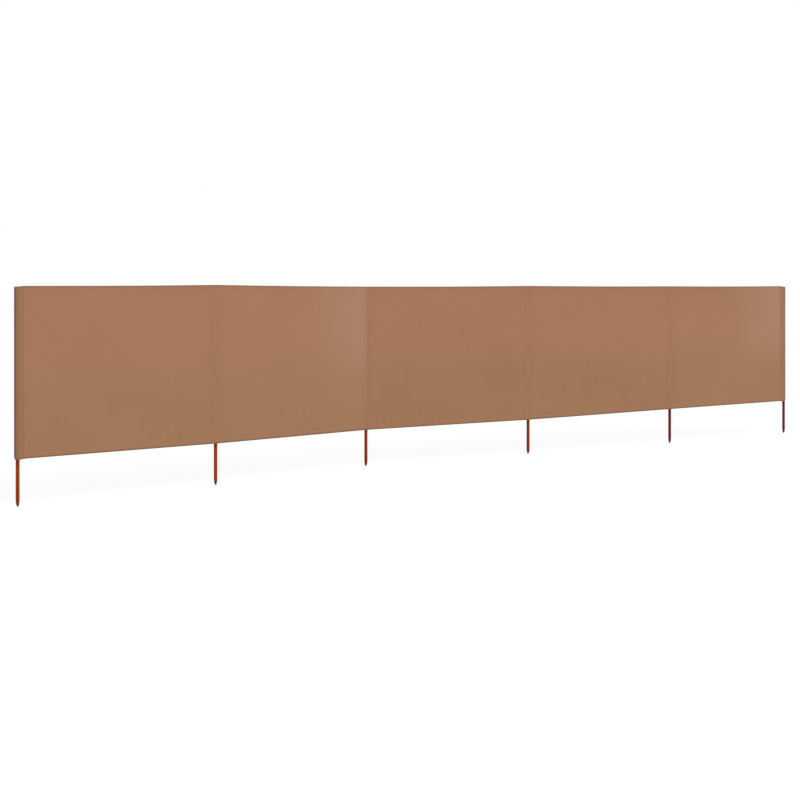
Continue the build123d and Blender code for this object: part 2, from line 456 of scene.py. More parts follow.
# %% [markdown]
# ## Edges and sleeve tops
# The edges hang a few millimetres higher or lower from pole to pole, as a hand-sewn hem does, and the upper
# one sags a little between them. Over a pole's top end its sleeve is drawn together and sewn flat.

# %% Shape the edges
TOP_RISES = np.array([0.003, 0.007, -0.003, 0.0, -0.003, -0.003])  # of the cloth's edges, one for each pole
BOTTOM_RISES = np.array([0.006, 0.0, -0.008, -0.006, 0.008, 0.008])
EDGE_SAG = 0.0015
CLOSING_START = 0.010  # below the cloth's top, where a sleeve begins to draw together over its pole
CLOSING_END = 0.0035
CLOSED_SHARE = 0.02
HEM_EASE = 0.004  # length of cloth beside a sleeve over which the hem's gap changes


def edge_rise(along, height):
    """How much higher than planned the cloth hangs.

    Each edge has a rise at every pole and runs straight between them, and the upper edge sags by half a
    wave across each bay. Between the two edges the rise is shared by height.
    """
    _, share, _ = bay_place(along)
    rise = (height - cloth_bottom) / (cloth_top - cloth_bottom)
    lower = np.interp(along, post_marks, BOTTOM_RISES)
    upper = np.interp(along, post_marks, TOP_RISES) - EDGE_SAG * np.sin(np.pi * share)
    return (1 - rise) * lower + rise * upper


def closing(height):
    """Share of a sleeve's depth at a height: all of it up to the closing, then a cosine to nearly none."""
    share = np.clip((height - cloth_top + CLOSING_START) / (CLOSING_START - CLOSING_END), 0, 1)
    return np.maximum(np.cos(np.pi / 2 * share), CLOSED_SHARE)


def in_sleeve(along):
    """1 where a sleeve lies on the back of the cloth or the cloth itself is the sleeve, and 0 in the bays."""
    away = np.maximum(bay_starts - np.asarray(along)[..., None], np.asarray(along)[..., None] - bay_ends)
    return smooth_step(-SEAM_ALLOWANCE - HEM_EASE, -SEAM_ALLOWANCE, away.min(axis=-1))


def end_share(along):
    """How deep a length is in each end sleeve: 0 at the front seam, and 1 a seam allowance further round."""
    first = smooth_step(0, SEAM_ALLOWANCE, front_seams[0] - along)
    last = smooth_step(0, SEAM_ALLOWANCE, along - front_seams[1])
    return first, last


print("upper edge rises by", 1000 * TOP_RISES, "mm and lower edge by", 1000 * BOTTOM_RISES, "mm")

# %% [markdown]
# ## The cloth as a surface
# Path, profile, relief and edges come together in one function of two lengths. Its places are close together
# at seams and folds, where the shape changes quickly, and far apart in the bays, which keeps the mesh small.

# %% Work out the cloth
HEM_GAP_IN_SLEEVE = 0.0004
CORNER_DROP = 0.004  # how far the ends of the cloth hang below their seams
CORNER_TURN = 0.018  # above the cloth's bottom, where the ends begin to turn in to their poles


def cloth_surface(along, up):
    """Points of the cloth at lengths along the path and up the profile.

    A point is the path's own at the profile's height and its edge's rise. In an end sleeve it falls with its
    distance outward of the seam, and the path's depth about the bay's plane is drawn together at the top
    until the two plies lie on each other. The side vector is flattened in the same share, and along it the
    point is moved to the back by the profile's set-back and the relief. At a lower corner the outer fold is
    drawn in to the circle round the pole, by the square of the share of the way down.
    """
    along, up = np.broadcast_arrays(along, up)
    set_back, height = np.moveaxis(at_length(profile, profile_lengths, up), -1, 0)
    set_back = set_back * (1 - in_sleeve(along) * (1 - HEM_GAP_IN_SLEEVE / HEM_GAP))
    set_back = set_back + relief(along, height)
    plan = at_length(path, path_lengths, along)
    sides = at_length(path_sides, path_lengths, along)
    hung = height + edge_rise(along, height)
    open_share = closing(height)
    turned_share = np.clip(1 - (height - cloth_bottom) / CORNER_TURN, 0, 1) ** 2
    ends = ((poles[0], directions[0], backs[0]), (poles[-1], -directions[-1], backs[-1]))
    for (pole, inward, back), share in zip(ends, end_share(along)):
        outward = np.clip(END_SEAM - (plan - pole) @ inward, 0, None)
        depth = (plan - pole) @ back - PLY / 2
        drawn = np.maximum(np.abs(depth) * open_share, np.minimum(np.abs(depth), PLY / 2))
        plan = plan + (share * (np.sign(depth) * drawn - depth))[..., None] * back
        sides = sides - (share * (1 - open_share) * (sides @ inward))[..., None] * inward
        hung = hung - np.where(share > 0, CORNER_DROP * outward / (END_SEAM + OUTER_FOLD), 0)
        from_axis = plan - pole
        past_circle = np.clip(1 - WRAP_RADIUS / np.linalg.norm(from_axis, axis=-1), 0, None)
        turned_in = np.where(outward > END_SEAM, turned_share * past_circle, 0)
        plan = plan - turned_in[..., None] * from_axis
    plan = plan + set_back[..., None] * unit(sides)
    return np.concatenate([plan, hung[..., None]], axis=-1)


loop_along = graded(
    0, front_seams[0], [back_seams[0], outer_folds[0], front_seams[0]],
    fine=0.0007, coarse=0.0045, reach=0.02,
)
bays_along = graded(
    *front_seams, np.concatenate([bay_starts, bay_ends, fold_marks]),
    fine=0.0028, coarse=0.018, reach=0.12,
)
cloth_along = np.concatenate([loop_along, bays_along[1:-1], path_lengths[-1] - loop_along[::-1]])
cloth_up = graded(
    0, profile_lengths[-1], [bottom_fold, top_fold, top_fold - CLOSING_START / 2],
    fine=0.0005, coarse=0.026, reach=0.09,
)
cloth_points = cloth_surface(cloth_along[:, None], cloth_up[None])
print("cloth grid", cloth_points.shape[:2])

# %% [markdown]
# ## From arrays to pieces
# A grid of points becomes a mesh of four-sided faces that join neighbouring columns and rows. The cut's own
# lengths go into a UV map, so that the weave below runs along the cloth and not across it where it turns.

# %% Make a mesh from a grid
def grid_faces(columns, rows, ring=False):
    """Corner numbers of a grid's faces, where the point in column i and row j has number i * rows + j.

    Each face joins columns i and i + 1 and rows j and j + 1. In a ring the last column meets the first.
    """
    i, j = np.meshgrid(np.arange(columns if ring else columns - 1), np.arange(rows - 1), indexing="ij")
    k = (i + 1) % columns
    return np.stack([i * rows + j, k * rows + j, k * rows + j + 1, i * rows + j + 1], axis=-1).reshape(-1, 4)


def make_piece(name, points, faces, material, caps=()):
    """Smooth mesh object from points and four-sided faces, and caps of more corners where it has ends."""
    mesh = bpy.data.meshes.new(name)
    mesh.from_pydata(points.reshape(-1, 3).tolist(), [], faces.tolist() + [list(cap) for cap in caps])
    mesh.polygons.foreach_set("use_smooth", np.ones(len(mesh.polygons), bool))
    mesh.materials.append(material)
    piece = put(name, mesh)
    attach(piece, "root")
    print(name, "has", len(mesh.vertices), "points and", len(mesh.polygons), "faces")
    return piece


def add_cut_map(piece, along, up, faces):
    """UV map whose coordinates are the lengths along and up the flat cut, in metres."""
    cut = np.stack(np.broadcast_arrays(along[:, None], up[None]), axis=-1).reshape(-1, 2)
    layer = piece.data.uv_layers.new(name="cut_lengths")
    layer.data.foreach_set("uv", cut[faces.ravel()].ravel())


def add_values(piece, shape, **values):
    """Keep named numbers for each point of a piece, spread over its grid, for its material to read."""
    for name, value in values.items():
        spread = np.broadcast_to(np.asarray(value, np.float32), shape).ravel()
        piece.data.attributes.new(name, "FLOAT", "POINT").data.foreach_set("value", spread)


def thicken(piece, thickness):
    """Give a sheet its thickness, half to each side."""
    wall = piece.modifiers.new("thickness", "SOLIDIFY")
    wall.thickness = thickness
    wall.offset = 0.0


# %% [markdown]
# ## Steps of a finish
# Every finish below is made of the same few steps: noise stretched along threads or fibres, sums, ramps from
# one number to another, and mixes of two colours. A helper for each keeps the trees short to read.

# %% Steps of a finish
def mix_colours(tree, share, first, second, blend="MIX"):
    """Colour that goes from the first to the second, or to their product, as the share goes from 0 to 1."""
    return add(tree, "Mix", {0: share, 6: first, 7: second}, data_type="RGBA", blend_type=blend).outputs[2]


def calc(tree, operation, first, second=0.0):
    """One step of arithmetic on one or two values."""
    return add(tree, "Math", {0: first, 1: second}, operation=operation).outputs[0]


def stretched_noise(tree, vector, scales, detail=3.0):
    """Noise with a number of grains to the metre for each axis, by which the place is multiplied."""
    place = add(tree, "Mapping", {"Vector": vector, "Scale": scales}).outputs[0]
    return add(tree, "TexNoise", {"Vector": place, "Scale": 1.0, "Detail": detail}).outputs[0]


def weighted(tree, *terms):
    """Sum of values, each times its own weight."""
    total = 0.0
    for value, weight in terms:
        total = add(tree, "Math", {0: value, 1: weight, 2: total}, operation="MULTIPLY_ADD").outputs[0]
    return total


def ramp(tree, value, low, high, start=0.0, end=1.0):
    """Number that goes evenly from start to end as a value goes from low to high, and stays so beyond."""
    return add(tree, "MapRange", {0: value, 1: low, 2: high, 3: start, 4: end}).outputs[0]


def value_of(tree, name):
    """Number that a piece keeps for each of its points."""
    return add(tree, "Attribute", attribute_name=name).outputs["Fac"]


def new_finish(name):
    """Material with an empty tree but for its shader."""
    finish = bpy.data.materials.new(name)
    finish.use_nodes = True
    return finish, finish.node_tree, finish.node_tree.nodes["Principled BSDF"]


# %% [markdown]
# ## The cloth's finish
# The cloth is a matt, plain weave in taupe. Its nodes make the weave from two crossing sine waves of the
# cut's lengths, thicker and thinner threads from stretched noise, and a slow change of tone from soft noise.
# Painted shade darkens it where a pole or a second ply lies behind it, as if less light came through, and
# most over the first end sleeve, which is turned from the sun. A painted line of shade darkens its folded
# edges, painted shade makes the lower half a little darker, and a painted highlight lightens two bays near
# one top corner. Rows of stitches pull the cloth into small puckers, which are too fine for the mesh and are
# made as bumps.

# %% Weave the cloth
WEAVE_PITCH = 0.0011  # from one thread to the next
TAUPE_DARK = (0.348, 0.169, 0.090, 1)
TAUPE_LIGHT = (0.380, 0.185, 0.098, 1)
TAUPE_PAINTED_SHADE = (0.285, 0.132, 0.068, 1)
# painted highlight: a paler, lighter taupe for two bays' upper corners
TAUPE_HIGHLIGHT = (0.392, 0.208, 0.131, 1)
# painted shade along the folded edges
TAUPE_FOLD_SHADE = (0.160, 0.078, 0.045, 1)
LOW_SHADE_TINT = (0.933, 0.981, 0.953, 1)  # what the painted shade of the lower half leaves of the cloth's colour
LOW_SHADE_HEIGHTS = (0.50, 0.70)  # all of it below the first, none above the second
TONE_ENDS = (0.38, 0.90)  # of the noise, where the cloth is all dark and all light
CLOTH_ROUGHNESS = (0.82, 0.95)
SLUB_GRAINS = (14, 700)  # along and across a thread, to the metre
CLOUD_GRAINS = (2.2, 3.0)  # along and up the cloth
PUCKER_GRAINS = (30, 150)  # across and along a row of stitches
PUCKER_HEIGHT = 0.0018
THREAD_HEIGHT = 0.0003


def make_cloth_finish():
    """Matt plain weave that follows the cut, with thread slubs, slow tones, painted shade and a painted
    highlight.
    """
    finish, tree, shader = new_finish("taupe_weave")
    cut = add(tree, "UVMap", uv_map="cut_lengths").outputs[0]
    lengths = add(tree, "SeparateXYZ", {0: cut}).outputs
    warp = calc(tree, "SINE", calc(tree, "MULTIPLY", lengths[0], np.pi / WEAVE_PITCH))
    weft = calc(tree, "SINE", calc(tree, "MULTIPLY", lengths[1], np.pi / WEAVE_PITCH))
    weave = ramp(tree, calc(tree, "MULTIPLY", warp, weft), -1, 1)
    weft_slubs = stretched_noise(tree, cut, (*SLUB_GRAINS, 1))
    warp_slubs = stretched_noise(tree, cut, (*SLUB_GRAINS[::-1], 1))
    slubs = calc(tree, "MULTIPLY", weft_slubs, warp_slubs)
    cloud = stretched_noise(tree, cut, (*CLOUD_GRAINS, 1), detail=5.0)
    tone = weighted(tree, (cloud, 0.8), (slubs, 0.8), (weave, 0.12))
    colour = mix_colours(tree, ramp(tree, tone, *TONE_ENDS), TAUPE_DARK, TAUPE_LIGHT)
    height = add(tree, "SeparateXYZ", {0: add(tree, "TexCoord").outputs["Object"]}).outputs[2]
    # painted shade: the lower half of the cloth is made a little darker
    low_shade = ramp(tree, height, *LOW_SHADE_HEIGHTS, 1.0, 0.0)
    colour = mix_colours(tree, low_shade, colour, LOW_SHADE_TINT, blend="MULTIPLY")
    # painted highlight, painted shade and painted shade along the folds, mixed over the colour
    for painted_light, wear_and_painted_light in (("bleached", TAUPE_HIGHLIGHT), ("backed", TAUPE_PAINTED_SHADE), ("rubbed", TAUPE_FOLD_SHADE)):
        colour = mix_colours(tree, value_of(tree, painted_light), colour, wear_and_painted_light)
    across_seams = stretched_noise(tree, cut, (*PUCKER_GRAINS, 1), detail=1.0)
    across_hems = stretched_noise(tree, cut, (*PUCKER_GRAINS[::-1], 1), detail=1.0)
    puckers = weighted(
        tree, (across_seams, value_of(tree, "seam_pull")), (across_hems, value_of(tree, "hem_pull")),
    )
    pucker_bump = add(tree, "Bump", {"Strength": 1.0, "Distance": PUCKER_HEIGHT, "Height": puckers})
    threads = weighted(tree, (weave, 0.7), (slubs, 0.9))
    bump = add(tree, "Bump", {"Strength": 0.35, "Distance": THREAD_HEIGHT, "Height": threads,
                              "Normal": pucker_bump.outputs[0]})
    roughness = ramp(tree, slubs, 0.1, 0.5, *CLOTH_ROUGHNESS)
    fill(tree, shader, {"Base Color": colour, "Roughness": roughness, "Normal": bump.outputs[0],
                        "Specular IOR Level": 0.2, "Sheen Weight": 0.06, "Sheen Roughness": 0.5})
    return finish


cloth_finish = make_cloth_finish()
print("weave of", round(0.001 / WEAVE_PITCH, 2), "threads in a millimetre")

# %% [markdown]
# ## The cloth itself
# One mesh stands for the five flat bays and both end sleeves, because on the real one they are one length
# of cloth. Five numbers at each point tell the finish where it has painted shade, painted shade along a
# fold and a painted highlight, and where the stitches of a seam or a hem pull at it.

# %% Hang the cloth
FOLD_SHADING = 0.95
FOLD_SHADE_HEMS = np.array([0.0054, 0.0042])  # how far the painted shade reaches from the lower and the upper fold
FOLD_SHADE_RIMS = np.array([0.0090, 0.0220])  # the same at the first and the last end
# painted highlight near the top of two bays' right ends
HIGHLIGHT_BAYS = np.array([1, 4])  # counted from 0
HIGHLIGHT_STRENGTH = 0.9
HIGHLIGHT_WIDTH = 0.55  # share of the bay
HIGHLIGHT_RISE = (0.1, 0.75)  # shares of the cloth's height, between which it grows
HIGHLIGHT_FADE = 0.012  # to each side of the bay's end, where it stops
HEM_ROW = 0.0095  # from a fold to its row of stitches
PULL_WIDTH = 0.008
LOOP_SHADES = (0.60, 0.04)  # painted shade: how much darker the first and the last end sleeve look
POLE_SHADES = np.array([0.10, 0.26, 0.10, 0.08])  # the same for the cloth in front of each inner pole
POLE_SHADE_FALL = (1.2, 0.8)  # of that shade, at the cloth's bottom and at its top
POLE_EDGES = (0.5, 1.2)  # in shares of the pole's radius, between which that shade ends
# painted shade where a strip lies behind the cloth
STRIP_SHADE = 0.05


def pull(lengths, rows):
    """How much rows of stitches pull at a cloth: 1 on a row, falling off with the distance as a bell does."""
    away = np.abs(np.asarray(lengths)[..., None] - rows).min(axis=-1)
    return np.exp(-((away / PULL_WIDTH) ** 2))


sheet_along, sheet_up = np.broadcast_arrays(cloth_along[:, None], cloth_up[None])
sheet_height = at_length(profile, profile_lengths, sheet_up)[..., 1]
sheet_rise = (sheet_height - cloth_bottom) / (cloth_top - cloth_bottom)

from_folds = np.abs(sheet_along[..., None] - fold_marks)
from_fold = from_folds.min(axis=-1)
pole_shade = POLE_SHADES[from_folds.argmin(axis=-1)] * np.interp(sheet_rise, (0, 1), POLE_SHADE_FALL)
pole_behind = 1 - smooth_step(*POLE_EDGES, from_fold / pole_radius)
strip_behind = 1 - smooth_step(INNER_SEAM, INNER_SEAM + SEAM_ALLOWANCE, from_fold)
first_loop_share, last_loop_share = end_share(sheet_along)
loop_shade = LOOP_SHADES[0] * first_loop_share + LOOP_SHADES[1] * last_loop_share
# painted shade in front of the inner poles and their strips, and over the end sleeves
backed = pole_shade * pole_behind + STRIP_SHADE * strip_behind + loop_shade

# painted shade: a dark line along the hem folds and the end sleeves' outer folds
from_hem = (np.abs(sheet_up[..., None] - (bottom_fold, top_fold)) / FOLD_SHADE_HEMS).min(axis=-1)
from_rim = (np.abs(sheet_along[..., None] - outer_folds) / FOLD_SHADE_RIMS).min(axis=-1)
rubbed = FOLD_SHADING * np.exp(-(np.minimum(from_hem, from_rim**2) ** 2))

# painted highlight, growing towards each chosen bay's end and up the cloth
highlight_ends = post_marks[HIGHLIGHT_BAYS + 1]
highlight_starts = highlight_ends - HIGHLIGHT_WIDTH * np.diff(post_marks)[HIGHLIGHT_BAYS]
bleached = smooth_step(highlight_starts, highlight_ends, sheet_along[..., None])
past_end = smooth_step(highlight_ends - HIGHLIGHT_FADE, highlight_ends + HIGHLIGHT_FADE, sheet_along[..., None])
bleached = bleached * (1 - past_end)
bleached = HIGHLIGHT_STRENGTH * bleached.max(axis=-1) * smooth_step(*HIGHLIGHT_RISE, sheet_rise)

seam_places = np.concatenate([back_seams, bay_starts, bay_ends])
hem_rows = [bottom_fold - HEM_ROW, bottom_fold + HEM_ROW, top_fold - HEM_ROW, top_fold + HEM_ROW]

cloth_faces = grid_faces(len(cloth_along), len(cloth_up))
cloth = make_piece("windbreak_cloth", cloth_points, cloth_faces, cloth_finish)
add_cut_map(cloth, cloth_along, cloth_up, cloth_faces)
add_values(cloth, sheet_up.shape, backed=backed, rubbed=rubbed, bleached=bleached,
           seam_pull=pull(sheet_along, seam_places), hem_pull=pull(sheet_up, hem_rows))
thicken(cloth, SHEET)
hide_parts(*BAY_NAMES, "sleeve_1", "sleeve_6")

# %% [markdown]
# ## Sleeves of the inner poles
# Behind each fold a strip of the same cloth holds the pole. Its edges are turned under and sewn down, and
# between the seams it runs straight to the pole and round its back. It is worked out in the pole's own plan,
# with one axis across and one to the back, and then moved to its place. Its top is drawn together and sewn.

# %% Shape a strip
TURNED_EDGE = 0.006
UNDER_PLY = 0.00065  # from the cloth to a strip's turned edge
OVER_PLY = 0.0013  # from the cloth to the strip over its turned edge
STRIP_HEM = 0.009
STRIP_HEM_GAP = 0.0007
STRIP_RISE = 0.003  # of its lower edge above the cloth's
STRIP_TOP_DROP = 0.0015
SEAM_HEM_SHARE = 0.4  # of the hem's gap, where the seams press it
FREE_START = 0.010  # from a seam, over which a strip comes free of the cloth
SLACK = 0.0004
SLACK_WAVES = (9.0, 31.0)  # how far its two waves turn in a metre of height
SLACK_TURN = 2.0  # of the first wave, from pole to pole
SLACK_LENGTH = 0.02
GATHER_HEIGHT = 0.0005
GATHER_LENGTH = 0.0085

strip_profile, strip_profile_lengths, strip_bottom_fold, strip_top_fold = hemmed_profile(
    cloth_bottom + STRIP_RISE, cloth_top - STRIP_TOP_DROP, STRIP_HEM, STRIP_HEM_GAP,
)


def strip_path(set_back, half_turn):
    """Line of a strip in its pole's plan, from its right edge round the back of the pole to its left edge.

    A place beside the pole is a distance along the right bay and a depth behind it. The left half is the
    right one mirrored. The straight part touches the circle round the pole as in an end sleeve.
    """
    def beside(distance, depth):
        across = distance * np.cos(half_turn) - depth * np.sin(half_turn)
        return across, distance * np.sin(half_turn) + depth * np.cos(half_turn) - set_back

    edge = INNER_SEAM + SEAM_ALLOWANCE
    seam = beside(INNER_SEAM, OVER_PLY)
    turned_edge = beside(edge - TURNED_EDGE, UNDER_PLY), beside(edge, UNDER_PLY), beside(edge, OVER_PLY)
    right = np.array([*turned_edge, seam])
    touch = np.arctan2(seam[1], seam[0]) + np.arccos(WRAP_RADIUS / np.hypot(*seam))
    turned = (OVER_PLY - UNDER_PLY) / 2
    rounds = np.array([turned, turned, SEAM_ROUND])
    return rounded_line(
        np.vstack([right, arc(0, WRAP_RADIUS, touch, np.pi - touch), right[::-1] * (-1, 1)]),
        np.concatenate([rounds, np.zeros(ARC_POINTS), rounds[::-1]]),
        spacing=0.0001,
    )


def fold_depth(across, half_turn):
    """How far the cloth lies to the back of its fold's sharp corner, by the distance across from it.

    Each bay leaves the corner at half of the fold's turn. Inside the round the line is the parabola
    tan(h) (x^2 + r^2) / 2r, where h is the half turn, x the distance and r the round's reach across.
    """
    reach = FOLD_ROUND * np.cos(half_turn)
    away = np.abs(across)
    return np.tan(half_turn) * np.where(away < reach, (away**2 + reach**2) / (2 * reach), away)


def strip_surface(post):
    """Function of the lengths along and up a strip that gives its points, and the strip's marked lengths.

    The slack is the product of two waves, one of the height and one of the height and the length along. Near
    the top the depth behind the bays is drawn together and the side vector flattened in the same share, and
    small gathers take up the width that is left over. The profile's set-back is to the inside.
    """
    set_back = -to_cloth[post]
    half_turn = half_turns[post - 1]
    line, lengths, marks = strip_path(set_back, half_turn)
    sides = unit(quarter_left(np.gradient(line, axis=0)))
    across = -quarter_left(post_backs[post])
    seams = marks[[3, -4]]

    def surface(along, up):
        along, up = np.broadcast_arrays(along, up)
        inside, height = np.moveaxis(at_length(strip_profile, strip_profile_lengths, up), -1, 0)
        open_share = closing(height)
        free = smooth_step(0, FREE_START, np.minimum(along - seams[0], seams[1] - along))
        inside = inside * (SEAM_HEM_SHARE + (1 - SEAM_HEM_SHARE) * free)
        slack = free * SLACK * np.sin(SLACK_WAVES[0] * height + SLACK_TURN * post)
        slack = slack * np.sin(SLACK_WAVES[1] * height + along / SLACK_LENGTH)
        gathers = free * (1 - open_share) * GATHER_HEIGHT * np.sin(np.pi * along / GATHER_LENGTH) ** 2
        side = at_length(sides, lengths, along)
        plan = at_length(line, lengths, along) + slack[..., None] * side
        cloth_depth = fold_depth(plan[..., 0], half_turn) - set_back + OVER_PLY
        behind = plan[..., 1] - cloth_depth
        drawn = np.where(behind > 0, behind * open_share, behind) + gathers
        side = unit(side * np.stack([open_share, np.ones_like(open_share)], axis=-1))
        plan = np.stack([plan[..., 0], cloth_depth + drawn], axis=-1) + inside[..., None] * side
        world = poles[post] + plan[..., :1] * across + plan[..., 1:] * post_backs[post]
        hung = height + edge_rise(fold_marks[post - 1], height)
        return np.concatenate([world, hung[..., None]], axis=-1)

    return surface, lengths, marks, seams


print("strips are cut", round(strip_profile_lengths[-1], 4), "m high")

# %% [markdown]
# ## Sewing the strips on
# Each strip is a thin sheet with the cloth's own finish. It has painted shade where its pole fills it and
# along its upper and lower fold, and is pulled into puckers by its seams as the cloth is.

# %% Sew the strips on
STRIP_HEM_ROW = 0.0070
STRIP_POLE_SHADE = 0.25  # painted shade: how much darker a strip looks over its pole
STRIP_POLE_EDGES = (0.02, 0.03)  # from the seams, between which that shade begins
STRIP_FOLD_SHADING = 0.7

strip_up = graded(
    0, strip_profile_lengths[-1], [strip_bottom_fold, strip_top_fold, strip_top_fold - CLOSING_START / 2],
    fine=0.0003, coarse=0.026, reach=0.09,
)
# painted shade along a strip's folds
from_hem = (np.abs(strip_up[:, None] - (strip_bottom_fold, strip_top_fold)) / FOLD_SHADE_HEMS).min(axis=-1)
strip_rubbed = STRIP_FOLD_SHADING * np.exp(-(from_hem**2))
strip_pull = pull(strip_up, [strip_bottom_fold + STRIP_HEM_ROW, strip_top_fold])
strips = {}
for post in range(1, len(poles) - 1):
    surface, lengths, marks, seams = strip_surface(post)
    along = graded(0, lengths[-1], [*marks[1:4], *marks[-4:-1]], fine=0.0003, coarse=0.0032, reach=0.02)
    faces = grid_faces(len(along), len(strip_up))
    points = surface(along[:, None], strip_up[None])
    strip = make_piece(f"pole_sleeve_{post + 1}", points, faces, cloth_finish)
    add_cut_map(strip, along, strip_up, faces)
    from_seam = np.minimum(along - seams[0], seams[1] - along)
    strip_backed = STRIP_POLE_SHADE * smooth_step(*STRIP_POLE_EDGES, from_seam)
    add_values(strip, points.shape[:2], backed=strip_backed[:, None], rubbed=strip_rubbed,
               seam_pull=pull(along, seams)[:, None], hem_pull=strip_pull)
    thicken(strip, SHEET)
    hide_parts(f"sleeve_{post + 1}")
    strips[post] = (surface, seams)

# %% [markdown]
# ## Thread
# All seams are sewn with a thread of nearly the cloth's own colour, so that they hardly show from afar. Close
# by it has a fine twist and a little sheen. One slow noise changes its tone, and one fine noise is its twist.

# %% Spin the thread
THREAD_DARK = (0.320, 0.158, 0.086, 1)
THREAD_LIGHT = (0.450, 0.230, 0.130, 1)
THREAD_ROUGHNESS = (0.5, 0.75)
TONE_GRAINS = (300, 300, 300)
TWIST_GRAINS = (2600, 2600, 2600)
TWIST_HEIGHT = 0.0001


def thread_finish():
    """Twisted thread in a tone near the cloth's: a fine twist, a little sheen and a slow change of tone."""
    finish, tree, shader = new_finish("taupe_thread")
    place = add(tree, "TexCoord").outputs["Object"]
    tone = stretched_noise(tree, place, TONE_GRAINS, detail=2.0)
    colour = mix_colours(tree, tone, THREAD_DARK, THREAD_LIGHT)
    twist = stretched_noise(tree, place, TWIST_GRAINS, detail=1.0)
    roughness = ramp(tree, twist, 0, 1, *THREAD_ROUGHNESS)
    bump = add(tree, "Bump", {"Strength": 0.4, "Distance": TWIST_HEIGHT, "Height": twist})
    fill(tree, shader, {"Base Color": colour, "Roughness": roughness, "Normal": bump.outputs[0],
                        "Sheen Weight": 0.1})
    return finish


thread = thread_finish()
print("thread is finished as", thread.name)

# %% [markdown]
# ## Stitches
# Every seam is a row of lock stitches. A stitch is a short thread that comes up out of the cloth, lies on it
# and goes down again. All stitches of a kind are one mesh: one short tube worked out for a whole array of
# starts and ends at once.

# %% Lay stitches in a row
STITCH_PITCH = 0.0040
STITCH_LENGTH = 0.0034
THREAD_RADIUS = 0.00028
THREAD_TAPER = 0.35  # what a stitch loses of its radius where it dips into the cloth
STITCH_RINGS = 5
STITCH_SIDES = 4


def outward_of(surface, along, up, step=0.0004):
    """Unit vectors out of a surface: the cross product of its steps along and up."""
    return unit(np.cross(
        surface(along + step, up) - surface(along - step, up),
        surface(along, up + step) - surface(along, up - step),
    ))


def stitch_line(surface, along, up, step_along, step_up):
    """Starts, ends and outward vectors of stitches centred at given lengths, half a step to each side."""
    starts = surface(along - step_along / 2, up - step_up / 2)
    ends = surface(along + step_along / 2, up + step_up / 2)
    return np.stack([starts, ends, outward_of(surface, along, up)], axis=1)


def row_along(surface, start, stop, up):
    """Row of stitches that runs along a cloth at one length up it."""
    places = np.arange(start + STITCH_PITCH / 2, stop, STITCH_PITCH)
    return stitch_line(surface, places, np.full_like(places, up), STITCH_LENGTH, 0.0)


def row_up(surface, along, start, stop):
    """Row of stitches that runs up a cloth at one length along it."""
    places = np.arange(start + STITCH_PITCH / 2, stop, STITCH_PITCH)
    return stitch_line(surface, np.full_like(places, along), places, 0.0, STITCH_LENGTH)


def make_stitches(name, rows, material):
    """Thread tubes for all stitches of some rows.

    Ring t, from -1 to 1, stands on the line from start to end, lifted by the cloth's half thickness and by
    the thread's radius times 1 - 2t^4, so that both ends dip into the cloth, where they are also thinner. Its
    corners go round the line on the outward vector and the one square to both.
    """
    starts, ends, outward = np.moveaxis(np.concatenate(rows), 1, 0)[:, :, None, None]
    t = np.linspace(-1, 1, STITCH_RINGS)[None, :, None, None]
    turn = (2 * np.pi * np.arange(STITCH_SIDES) / STITCH_SIDES)[None, None, :, None]
    sideways = np.cross(unit(ends - starts), outward)
    lift = SHEET / 2 + THREAD_RADIUS * (1 - 2 * t**4)
    middle = (starts + ends) / 2 + t * (ends - starts) / 2 + lift * outward
    radius = THREAD_RADIUS * (1 - THREAD_TAPER * t**4)
    points = middle + radius * (np.cos(turn) * outward + np.sin(turn) * sideways)
    count = len(points)
    ring = np.arange(STITCH_RINGS - 1)[:, None] * STITCH_SIDES
    side = np.arange(STITCH_SIDES)[None]
    after = (side + 1) % STITCH_SIDES
    here, there = ring + side, ring + after
    walls = np.stack([here, there, there + STITCH_SIDES, here + STITCH_SIDES], axis=-1)
    start_cap = np.arange(STITCH_SIDES)[::-1]
    end_cap = np.arange(STITCH_SIDES) + (STITCH_RINGS - 1) * STITCH_SIDES
    one = np.vstack([walls.reshape(-1, 4), start_cap, end_cap])
    faces = (np.arange(count) * STITCH_RINGS * STITCH_SIDES)[:, None, None] + one[None]
    return make_piece(name, points, faces.reshape(-1, 4), material)


# %% [markdown]
# ## Rows
# Rows run along both hems, up the seams of all sleeves and across the sleeves' tops. A row that goes through
# two cloths shows on both of them, so it is laid once on the front and once on the back.

# %% Sew the rows
CLOSING_ROW = 0.0020  # from a sleeve's top to the row that closes it
HEM_INSET = 0.010  # from the cloth's ends to the ends of its hems' rows
SEAM_INSET = 0.002  # from a fold to the end of a seam's row
STRIP_TOP_INSET = 0.003  # the same at a strip's top

lower_back, lower_front, upper_front, upper_back = hem_rows
seam_low = bottom_fold + SEAM_INSET
seam_high = top_fold - SEAM_INSET
strip_low = strip_bottom_fold + SEAM_INSET
strip_high = strip_top_fold - STRIP_TOP_INSET
end_closing = top_fold - CLOSING_ROW
strip_closing = end_closing - STRIP_TOP_DROP

